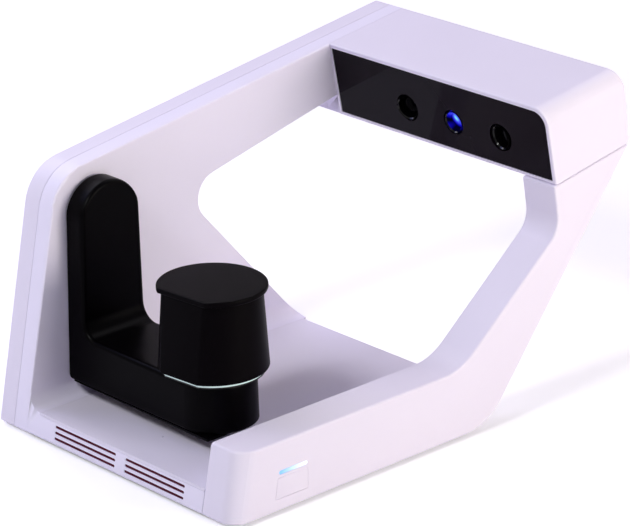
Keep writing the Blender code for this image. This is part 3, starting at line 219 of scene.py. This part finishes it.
def two_tone(tree, share, low, high):
    """The low colour where the share is 0, the high one where it is 1.

    A Mix node has like-named sockets for each kind of value. Its colours are these numbers.
    """
    mixed = tree.nodes.new("ShaderNodeMix")
    mixed.data_type = "RGBA"
    mixed.inputs[MIX_LOW].default_value = low
    mixed.inputs[MIX_HIGH].default_value = high
    wire(tree, share, mixed.inputs["Factor"])
    return mixed.outputs[MIX_RESULT]


def moulded(name, colour, roughness, gloss, grain, depth, drift=0.02, metal=0.0):
    """A moulded, painted or metal finish, with a fine grain in its surface.

    The grain's depth is in metres. The tone drifts by a small share, and the sheen with it.
    """
    made = bpy.data.materials.new(name)
    made.use_nodes = True
    tree = made.node_tree
    face = tree.nodes["Principled BSDF"]
    face.inputs["Specular IOR Level"].default_value = gloss
    face.inputs["Metallic"].default_value = metal
    place = tree.nodes.new("ShaderNodeTexCoord").outputs["Object"]
    cloud = noise(tree, place, CLOUD_SCALE, CLOUD_DETAIL)
    darker = (*[c * (1 - drift) for c in colour], 1)
    lighter = (*[min(c * (1 + drift), 1) for c in colour], 1)
    wire(tree, two_tone(tree, cloud, darker, lighter), face.inputs["Base Color"])
    sheen = tree.nodes.new("ShaderNodeMapRange")
    sheen.inputs["To Min"].default_value = roughness * (1 - SHEEN_SWING)
    sheen.inputs["To Max"].default_value = roughness * (1 + SHEEN_SWING)
    wire(tree, cloud, sheen.inputs["Value"])
    wire(tree, sheen.outputs["Result"], face.inputs["Roughness"])
    relief = tree.nodes.new("ShaderNodeBump")
    relief.inputs["Strength"].default_value = GRAIN_STRENGTH
    relief.inputs["Distance"].default_value = depth
    wire(tree, noise(tree, place, grain, GRAIN_DETAIL), relief.inputs["Height"])
    wire(tree, relief.outputs["Normal"], face.inputs["Normal"])
    return made


def smooth_skin(node, name, finish, body):
    """The shape of a solid of the frame, merged into one skin with its rounds shaded smooth."""
    piece = bpy.data.objects.new(name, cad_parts[node].data.copy())
    scene.collection.objects.link(piece)
    bpy.context.view_layer.objects.active = piece
    piece.select_set(True)
    bpy.ops.object.mode_set(mode="EDIT")
    bpy.ops.mesh.select_all(action="SELECT")
    bpy.ops.mesh.remove_doubles(threshold=WELD)
    bpy.ops.mesh.select_all(action="DESELECT")
    bpy.ops.object.mode_set(mode="OBJECT")
    bpy.ops.object.shade_smooth_by_angle(angle=CREASE)
    even = piece.modifiers.new("even_normals", "WEIGHTED_NORMAL")
    even.keep_sharp = True
    even.weight = FACE_WEIGHT
    bpy.ops.object.modifier_apply(modifier=even.name)
    piece.data.materials.clear()
    piece.data.materials.append(finish)
    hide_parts(node)
    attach(piece, body)
    piece.select_set(False)
    return piece


shell_white = moulded("white_moulding", SHELL_WHITE, **SHELL_FINISH)
smooth_skin("left_outer_cover", "left_cover_outside", shell_white, "base")
# The inner shell gets the lighter white, as painted light on the inner wall.
inner_white_painted_light = moulded("inner_moulding_painted_light", INNER_WHITE_PAINTED_LIGHT, **SHELL_FINISH)
smooth_skin("left_inner_shell", "left_cover_inside", inner_white_painted_light, "base")

# Floor of the scan space: one white moulded sheet that hooks over the vented front
# and turns down at the back. It is a shade duller than the covers.
FLOOR_WHITE = (0.79, 0.74, 0.89)
floor_white = moulded(
    "floor_moulding", FLOOR_WHITE, roughness=0.48, gloss=0.3, grain=1200, depth=0.00003
)
smooth_skin("floor_panel", "scan_floor", floor_white, "base")

# Dust gauze: a strip of dark red fabric mesh on a thin backing, pressed into each vent slot from
# behind. The strips lie just behind the face of the front, three to a group. The front leans
# back by FRONT_LEAN metres for each metre of height above its foot.
VENT_GROUPS = ((-0.0620, 0.00203), (0.01223, 0.0725))
LOWEST_VENT = 0.0074
VENT_STEP = 0.00405
VENT_ROWS = 3
VENT_STRIP_HEIGHT = 0.00196
VENT_STRIP_DEPTH = 0.0016
VENT_STRIP_ROUND = 0.0007
VENT_ROUND_STEPS = 4
VENT_SIDE_GAP = 0.0002
VENT_SET_BACK = 0.00045
FRONT_LEAN = 0.1966
FRONT_FOOT_Y = -0.18701
FRONT_FOOT_Z = 0.0025
GAUZE_RED = (0.085, 0.010, 0.026)
gauze_red = moulded(
    "gauze_dark_red", GAUZE_RED, roughness=0.9, gloss=0.05, grain=2600, depth=0.0002, drift=0.3
)
strip_front = FRONT_FOOT_Y + FRONT_LEAN * (LOWEST_VENT - FRONT_FOOT_Z) + VENT_SET_BACK
for group, (left, right) in enumerate(VENT_GROUPS):
    bpy.ops.mesh.primitive_cube_add(
        size=1,
        location=((left + right) / 2, strip_front + VENT_STRIP_DEPTH / 2, LOWEST_VENT),
        scale=(right - left - VENT_SIDE_GAP, VENT_STRIP_DEPTH, VENT_STRIP_HEIGHT),
    )
    lowest_strip = bpy.context.object
    lowest_strip.name = f"vent_gauze_{group}_0"
    bpy.ops.object.transform_apply(location=True, rotation=True, scale=True)
    bpy.ops.object.mode_set(mode="EDIT")
    bpy.ops.mesh.select_mode(type="EDGE")
    bpy.ops.mesh.select_all(action="DESELECT")
    bpy.ops.object.mode_set(mode="OBJECT")
    for edge in lowest_strip.data.edges:
        ends = [lowest_strip.data.vertices[index].co for index in edge.vertices]
        edge.select = abs(ends[0].y - ends[1].y) > VENT_STRIP_DEPTH / 2
    bpy.ops.object.mode_set(mode="EDIT")
    bpy.ops.mesh.bevel(offset=VENT_STRIP_ROUND, segments=VENT_ROUND_STEPS, affect="EDGES")
    bpy.ops.mesh.select_all(action="DESELECT")
    bpy.ops.object.mode_set(mode="OBJECT")
    lowest_strip.data.materials.append(gauze_red)
    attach(lowest_strip, "base")
    lowest_strip.select_set(False)
    for row in range(1, VENT_ROWS):
        strip = bpy.data.objects.new(f"vent_gauze_{group}_{row}", lowest_strip.data.copy())
        scene.collection.objects.link(strip)
        rise = VENT_STEP * row
        strip.data.transform(Matrix.Translation((0, FRONT_LEAN * rise, rise)))
        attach(strip, "base")

# Underside: a powder coated sheet that closes the base and carries the board. It stands on four
# turned rubber feet that are pressed into it.
SHEET_BLACK = (0.03, 0.03, 0.034)
RUBBER_BLACK = (0.018, 0.018, 0.018)
FEET = 4


def dress(node, finish):
    """Gives a solid of the frame its finish."""
    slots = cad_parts[node].data.materials
    slots.clear()
    slots.append(finish)


sheet_black = moulded(
    "powder_coat", SHEET_BLACK, roughness=0.62, gloss=0.3, grain=900, depth=0.00008, drift=0.08
)
dress("bottom_plate", sheet_black)
rubber = moulded(
    "foot_rubber", RUBBER_BLACK, roughness=0.85, gloss=0.2, grain=700, depth=0.0001, drift=0.1
)
for number in range(1, FEET + 1):
    smooth_skin(f"foot_{number}", f"rubber_foot_{number}", rubber, "base")

# Controller board: glass fibre sheet under a green solder mask, with its large chips.
# It is fixed on the stand-offs of the bottom sheet.
BOARD_GREEN = (0.012, 0.09, 0.045)
board_green = moulded(
    "solder_mask", BOARD_GREEN, roughness=0.35, gloss=0.5, grain=2400, depth=0.00002, drift=0.2
)
dress("main_board", board_green)

# Right flank: one hollow white moulding, the rim, the bend and the neck of the ribbon,
# closed on its inner side by a flush panel that is let into it.
smooth_skin("right_arm_shell", "right_flank_shell", shell_white, "base")
smooth_skin("right_arm_panel", "right_flank_panel", shell_white, "base")

# Power key: a white moulded key with one slanting corner, held by a flange behind the wall,
# and the push switch that it works. Its sides are grown into the seam and its top is drawn out
# to them, so that only a hairline shows round it.
KEY_FRONT_DEPTH = 0.0026
KEY_SIDE_TILT = 0.3
KEY_GROWTH = 0.00026
KEY_TOP_SKIN = 0.0001
KEY_TOP_LENGTHENED = 1.0325
KEY_TOP_HEIGHTENED = 1.0657
key = smooth_skin("power_button", "power_key", shell_white, "button")
key_low, key_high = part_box("power_button")
bpy.context.view_layer.objects.active = key
key.select_set(True)
for face in key.data.polygons:
    in_front = face.center.x > key_high.x - KEY_FRONT_DEPTH
    face.select = in_front and abs(face.normal.x) < KEY_SIDE_TILT
bpy.ops.object.mode_set(mode="EDIT")
bpy.ops.mesh.select_mode(type="FACE")
bpy.ops.transform.shrink_fatten(value=KEY_GROWTH)
bpy.ops.mesh.select_all(action="DESELECT")
bpy.ops.object.mode_set(mode="OBJECT")
for face in key.data.polygons:
    face.select = face.center.x > key_high.x - KEY_TOP_SKIN
bpy.ops.object.mode_set(mode="EDIT")
bpy.ops.transform.resize(
    value=(1, KEY_TOP_LENGTHENED, KEY_TOP_HEIGHTENED), center_override=(key_low + key_high) / 2
)
bpy.ops.mesh.select_all(action="DESELECT")
bpy.ops.object.mode_set(mode="OBJECT")
key.select_set(False)
SWITCH_BLACK = (0.02, 0.02, 0.02)
switch_black = moulded(
    "switch_case", SWITCH_BLACK, roughness=0.5, gloss=0.4, grain=1500, depth=0.00002, drift=0.05
)
dress("power_switch", switch_black)

# Light bar: a clear moulded diffuser, pressed into the wall above the key. The light behind it
# is a cool white, bluer at the bar's front end.
BAR_COOL = (0.12, 0.42, 0.82, 1)
BAR_WHITE = (0.92, 0.97, 1.0, 1)
BAR_ROUGHNESS = 0.3
BAR_GLOW = 0.42
bar_low, bar_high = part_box("light_bar")
bar_light = bpy.data.materials.new("bar_diffuser")
bar_light.use_nodes = True
bar_tree = bar_light.node_tree
bar_face = bar_tree.nodes["Principled BSDF"]
bar_face.inputs["Roughness"].default_value = BAR_ROUGHNESS
bar_face.inputs["Emission Strength"].default_value = BAR_GLOW
bar_place = bar_tree.nodes.new("ShaderNodeTexCoord").outputs["Object"]
bar_axes = bar_tree.nodes.new("ShaderNodeSeparateXYZ")
wire(bar_tree, bar_place, bar_axes.inputs[0])
along = bar_tree.nodes.new("ShaderNodeMapRange")
along.inputs["From Min"].default_value = bar_low.y
along.inputs["From Max"].default_value = bar_high.y
wire(bar_tree, bar_axes.outputs["Y"], along.inputs["Value"])
bar_colour = two_tone(bar_tree, along.outputs["Result"], BAR_COOL, BAR_WHITE)
wire(bar_tree, bar_colour, bar_face.inputs["Base Color"])
wire(bar_tree, bar_colour, bar_face.inputs["Emission Color"])
dress("light_bar", bar_light)

# Sockets on the back slope of the right flank: a square data socket in a drawn steel shell,
# and a round power inlet in a black moulding. Both are set in from behind.
SOCKET_STEEL = (0.55, 0.55, 0.57)
socket_steel = moulded(
    "drawn_steel", SOCKET_STEEL,
    roughness=0.3, gloss=0.5, grain=1800, depth=0.00001, drift=0.05, metal=1.0,
)
dress("usb_port", socket_steel)
smooth_skin("power_jack", "power_inlet", switch_black, "base")

# Head: a white moulded cover with a large round along its right end.
# Its front is left open for the glass.
smooth_skin("head_cover", "head_moulding", shell_white, "base")

# Front glass: one sheet of dark glass with three round windows cut in it for the lenses.
# It is glued into the sloping front of the head, flush with the cover.
GLASS_DARK = (0.0056, 0.0036, 0.0064)
glass_dark = moulded(
    "dark_glass", GLASS_DARK, roughness=0.05, gloss=0.074, grain=40, depth=0.000001, drift=0.05
)
dress("glass_panel", glass_dark)

# Optics: two cameras toed in and the projector between them, on an angle of black sheet.
# Each has an anodised barrel with a funnel mouth, and a coated front lens.
BARREL_BLACK = (0.0006, 0.0006, 0.0008)
OPTIC_ALLOY = (0.28, 0.28, 0.30)
COATED_BLACK = (0.0004, 0.0004, 0.0008)
COAT_WEIGHT = 0.008
COAT_TINT = (0.7, 0.75, 1.0, 1)
barrel_black = moulded(
    "anodised_barrel", BARREL_BLACK,
    roughness=0.3, gloss=0.015, grain=1600, depth=0.00002, drift=0.1,
)
optic_alloy = moulded(
    "optic_housing", OPTIC_ALLOY,
    roughness=0.42, gloss=0.5, grain=1100, depth=0.00003, drift=0.06, metal=0.9,
)
dress("optics_bracket", sheet_black)
for optic in ("camera_left", "camera_right", "projector"):
    dress(f"{optic}_body", optic_alloy)
for side in ("left", "right"):
    barrel = f"camera_{side}_barrel"
    smooth_skin(barrel, f"camera_{side}_tube", barrel_black, "base")

coated_glass = moulded(
    "coated_glass", COATED_BLACK,
    roughness=0.03, gloss=0.025, grain=60, depth=0.000001, drift=0.1,
)
coated_face = coated_glass.node_tree.nodes["Principled BSDF"]
coated_face.inputs["Coat Weight"].default_value = COAT_WEIGHT
coated_face.inputs["Coat Tint"].default_value = COAT_TINT
for side in ("left", "right"):
    lens = f"camera_{side}_lens"
    smooth_skin(lens, f"camera_{side}_front_lens", coated_glass, "base")

# Projector lens and its barrel, both lit from behind by a blue light source. The light shows
# as a slanting crescent with a pale core, and as a weaker spot low in the lens.
UNLIT_BLUE = (0.001, 0.001, 0.003, 1)
LENS_ROUGHNESS = 0.1
LENS_GLOSS = 0.02
LENS_GLOW = 1.0
NO_BLUE = (0, 0, 0, 1)
DARK_BLUE = (0.0, 0.0, 0.012, 1)
DEEP_BLUE = (0.003, 0.001, 0.33, 1)
MID_BLUE = (0.006, 0.003, 0.55, 1)
PALE_BLUE = (0.07, 0.09, 0.92, 1)
CORE_BLUE = (0.20, 0.78, 1.0, 1)
CRESCENT_MIDDLE = (0.0270, 0.112, 0.1881)
CRESCENT_TURN = math.radians(38)
CRESCENT_REACH = (0.0112, 0.03, 0.0056)
CRESCENT_STEPS = ((0.08, DARK_BLUE), (0.40, MID_BLUE), (0.70, PALE_BLUE), (0.93, CORE_BLUE))
LOW_SPOT_MIDDLE = (0.0206, 0.112, 0.1807)
LOW_SPOT_REACH = (0.0042, 0.03, 0.0042)
LOW_SPOT_STEPS = ((0.0, NO_BLUE), (0.6, DEEP_BLUE))
lit_lens = bpy.data.materials.new("lit_blue_lens")
lit_lens.use_nodes = True
lens_tree = lit_lens.node_tree
lens_face = lens_tree.nodes["Principled BSDF"]
lens_face.inputs["Base Color"].default_value = UNLIT_BLUE
lens_face.inputs["Roughness"].default_value = LENS_ROUGHNESS
lens_face.inputs["Specular IOR Level"].default_value = LENS_GLOSS
lens_face.inputs["Emission Strength"].default_value = LENS_GLOW
lens_place = lens_tree.nodes.new("ShaderNodeTexCoord").outputs["Object"]


def blue_spot(middle, turn, reach, steps):
    """A blot of blue light round a place in the lens, turned about Y, with its reach on each axis.

    The steps are its colours, from its rim at 0 to its middle at 1.
    """
    axes = lens_tree.nodes.new("ShaderNodeMapping")
    axes.vector_type = "TEXTURE"
    axes.inputs["Location"].default_value = middle
    axes.inputs["Rotation"].default_value = (0, turn, 0)
    axes.inputs["Scale"].default_value = reach
    wire(lens_tree, lens_place, axes.inputs["Vector"])
    ball = lens_tree.nodes.new("ShaderNodeTexGradient")
    ball.gradient_type = "SPHERICAL"
    wire(lens_tree, axes.outputs[0], ball.inputs["Vector"])
    glow = lens_tree.nodes.new("ShaderNodeValToRGB")
    first, last = glow.color_ramp.elements
    first.position, first.color = steps[0]
    last.position, last.color = steps[-1]
    for place, colour in steps[1:-1]:
        glow.color_ramp.elements.new(place).color = colour
    wire(lens_tree, ball.outputs["Fac"], glow.inputs["Fac"])
    return glow.outputs["Color"]


crescent = blue_spot(CRESCENT_MIDDLE, CRESCENT_TURN, CRESCENT_REACH, CRESCENT_STEPS)
low_spot = blue_spot(LOW_SPOT_MIDDLE, 0, LOW_SPOT_REACH, LOW_SPOT_STEPS)
both_spots = lens_tree.nodes.new("ShaderNodeMix")
both_spots.data_type = "RGBA"
both_spots.blend_type = "ADD"
both_spots.inputs["Factor"].default_value = 1
wire(lens_tree, crescent, both_spots.inputs[MIX_LOW])
wire(lens_tree, low_spot, both_spots.inputs[MIX_HIGH])
wire(lens_tree, both_spots.outputs[MIX_RESULT], lens_face.inputs["Emission Color"])
smooth_skin("projector_lens", "projector_front_lens", lit_lens, "base")
smooth_skin("projector_barrel", "projector_tube", lit_lens, "base")

# Lens hoods: a short turned cone stands on the mouth of each barrel, and its polished inner
# slope catches the light. The camera ones lean with their barrels, toed in towards the table.
HOOD_RADIUS = 0.0091
HOOD_DEPTH = 0.001
HOOD_SLOPE = 0.00078
HOOD_SIDES = 72
HOOD_BLACK = (0.0005, 0.0005, 0.0007)
hood_black = moulded(
    "polished_hood", HOOD_BLACK,
    roughness=0.12, gloss=0.28, grain=1200, depth=0.000002, drift=0.05,
)
bpy.ops.mesh.primitive_circle_add(vertices=HOOD_SIDES, radius=HOOD_RADIUS, location=(0, 0, 0))
turned_hood = bpy.context.object
bpy.ops.object.mode_set(mode="EDIT")
bpy.ops.mesh.select_mode(type="EDGE")
bpy.ops.mesh.select_all(action="SELECT")
bpy.ops.mesh.extrude_region_move(TRANSFORM_OT_translate={"value": (0, 0, HOOD_DEPTH)})
bpy.ops.mesh.extrude_region_move(TRANSFORM_OT_translate={"value": (0, 0, -HOOD_DEPTH)})
narrower = (HOOD_RADIUS - HOOD_SLOPE) / HOOD_RADIUS
bpy.ops.transform.resize(value=(narrower, narrower, narrower))
bpy.ops.mesh.select_all(action="SELECT")
bpy.ops.mesh.region_to_loop()
bpy.ops.mesh.bridge_edge_loops()
bpy.ops.mesh.select_all(action="SELECT")
bpy.ops.mesh.normals_make_consistent(inside=False)
bpy.ops.mesh.select_all(action="DESELECT")
bpy.ops.object.mode_set(mode="OBJECT")
bpy.ops.object.shade_smooth_by_angle(angle=CREASE)
turned_hood.data.materials.append(hood_black)

TOE_IN = math.radians(11)
INTO_HEAD = Vector((0, 0.9811, 0.1934))
PROJECTOR_MOUTH = Vector((0.0274, 0.10952, 0.1860))
OPTIC_PITCH = 0.0458
PROJECTOR_HOOD_SHARE = 0.89
for optic, place, size in (
    ("camera_left", -1, 1),
    ("projector", 0, PROJECTOR_HOOD_SHARE),
    ("camera_right", 1, 1),
):
    toe = TOE_IN * place
    out_of_head = -(INTO_HEAD * math.cos(toe) + Vector((math.sin(toe), 0, 0)))
    hood = bpy.data.objects.new(f"{optic}_hood", turned_hood.data.copy())
    scene.collection.objects.link(hood)
    hood.data.transform(
        Matrix.Translation(PROJECTOR_MOUTH + Vector((OPTIC_PITCH * place, 0, 0)))
        @ out_of_head.to_track_quat("Z", "Y").to_matrix().to_4x4()
        @ Matrix.Diagonal((size, size, 1, 1))
    )
    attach(hood, "base")
bpy.data.objects.remove(turned_hood)

# Swing arm: an L shaped black moulding with softly rounded edges, closed at the back by a
# plate and below by a thin cover. It hangs on a shaft through the left wall.
ARM_BLACK = (0.0009, 0.0006, 0.0011)
arm_black = moulded(
    "black_moulding", ARM_BLACK, roughness=0.31, gloss=0.034, grain=1100, depth=0.00004, drift=0.1
)
smooth_skin("arm_housing", "arm_casing", arm_black, "swing_arm")
cover = smooth_skin("arm_bottom_plate", "arm_under_cover", arm_black, "swing_arm")
# The cover's lower face slopes: it is flush at the upright and stands out under the round end.
COVER_RISE = 0.0013
COVER_UPRIGHT_END = -0.080
cover_low, cover_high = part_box("arm_bottom_plate")
cover_middle = (cover_low.z + cover_high.z) / 2
bpy.context.view_layer.objects.active = cover
cover.select_set(True)
for corner in cover.data.vertices:
    corner.select = corner.co.x < COVER_UPRIGHT_END and corner.co.z < cover_middle
bpy.ops.object.mode_set(mode="EDIT")
bpy.ops.mesh.select_mode(type="VERT")
bpy.ops.transform.translate(value=(0, 0, COVER_RISE))
bpy.ops.mesh.select_all(action="DESELECT")
bpy.ops.object.mode_set(mode="OBJECT")
cover.select_set(False)
dress("arm_back_plate", arm_black)

# Swing drive: a ground shaft, a cast gearbox and its motor, all inside the left wall,
# and the small motor in the arm that turns the table.
GROUND_STEEL = (0.52, 0.52, 0.54)
CAST_ALLOY = (0.42, 0.42, 0.44)
MOTOR_STEEL = (0.33, 0.33, 0.35)
ground_steel = moulded(
    "ground_steel", GROUND_STEEL,
    roughness=0.28, gloss=0.5, grain=2200, depth=0.00001, drift=0.04, metal=1.0,
)
cast_alloy = moulded(
    "cast_alloy", CAST_ALLOY,
    roughness=0.5, gloss=0.5, grain=600, depth=0.0001, drift=0.08, metal=1.0,
)
motor_steel = moulded(
    "motor_can", MOTOR_STEEL,
    roughness=0.36, gloss=0.5, grain=1500, depth=0.00002, drift=0.05, metal=1.0,
)
dress("swing_shaft", ground_steel)
dress("swing_gearbox", cast_alloy)
dress("swing_motor", motor_steel)
dress("turntable_motor", motor_steel)
dress("turntable_hub", ground_steel)

# Light ring: a flat moulded diffuser round the hub, clamped under the cup. Only its upper part
# is lit, and shows as a thin bright line below the cup.
RING_LIGHT = (0.56, 0.70, 0.70)
RING_DARK = (0.002, 0.002, 0.002)
RING_GLOW = 0.37
RING_LIT_SHARE = 0.64
RING_LIT_BLUR = 0.0002
ring_low, ring_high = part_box("light_ring")
ring_light = moulded(
    "ring_diffuser", RING_LIGHT, roughness=0.4, gloss=0.3, grain=300, depth=0.00001, drift=0.06
)
ring_tree = ring_light.node_tree
ring_face = ring_tree.nodes["Principled BSDF"]
ring_face.inputs["Emission Strength"].default_value = RING_GLOW
ring_place = ring_tree.nodes.new("ShaderNodeTexCoord")
ring_axes = ring_tree.nodes.new("ShaderNodeSeparateXYZ")
wire(ring_tree, ring_place.outputs["Object"], ring_axes.inputs[0])
lit_from = ring_high.z - (ring_high.z - ring_low.z) * RING_LIT_SHARE
lit = ring_tree.nodes.new("ShaderNodeMapRange")
lit.inputs["From Min"].default_value = lit_from
lit.inputs["From Max"].default_value = lit_from + RING_LIT_BLUR
wire(ring_tree, ring_axes.outputs["Z"], lit.inputs["Value"])
band = two_tone(ring_tree, lit.outputs["Result"], (*RING_DARK, 1), (*RING_LIGHT, 1))
wire(ring_tree, band, ring_face.inputs["Base Color"])
wire(ring_tree, band, ring_face.inputs["Emission Color"])
dress("light_ring", ring_light)

# Cup and disc of the turntable: two black mouldings with one flat towards the front.
# The disc is pressed into the top of the cup, and the cup onto the turntable's hub.
CUP_BLACK = (0.0015, 0.0009, 0.0016)
cup_black = moulded(
    "cup_moulding", CUP_BLACK, roughness=0.40, gloss=0.026, grain=1000, depth=0.00004, drift=0.1
)
smooth_skin("model_cup", "lift_cup", cup_black, "turntable")
smooth_skin("model_plate", "top_disc", cup_black, "turntable")
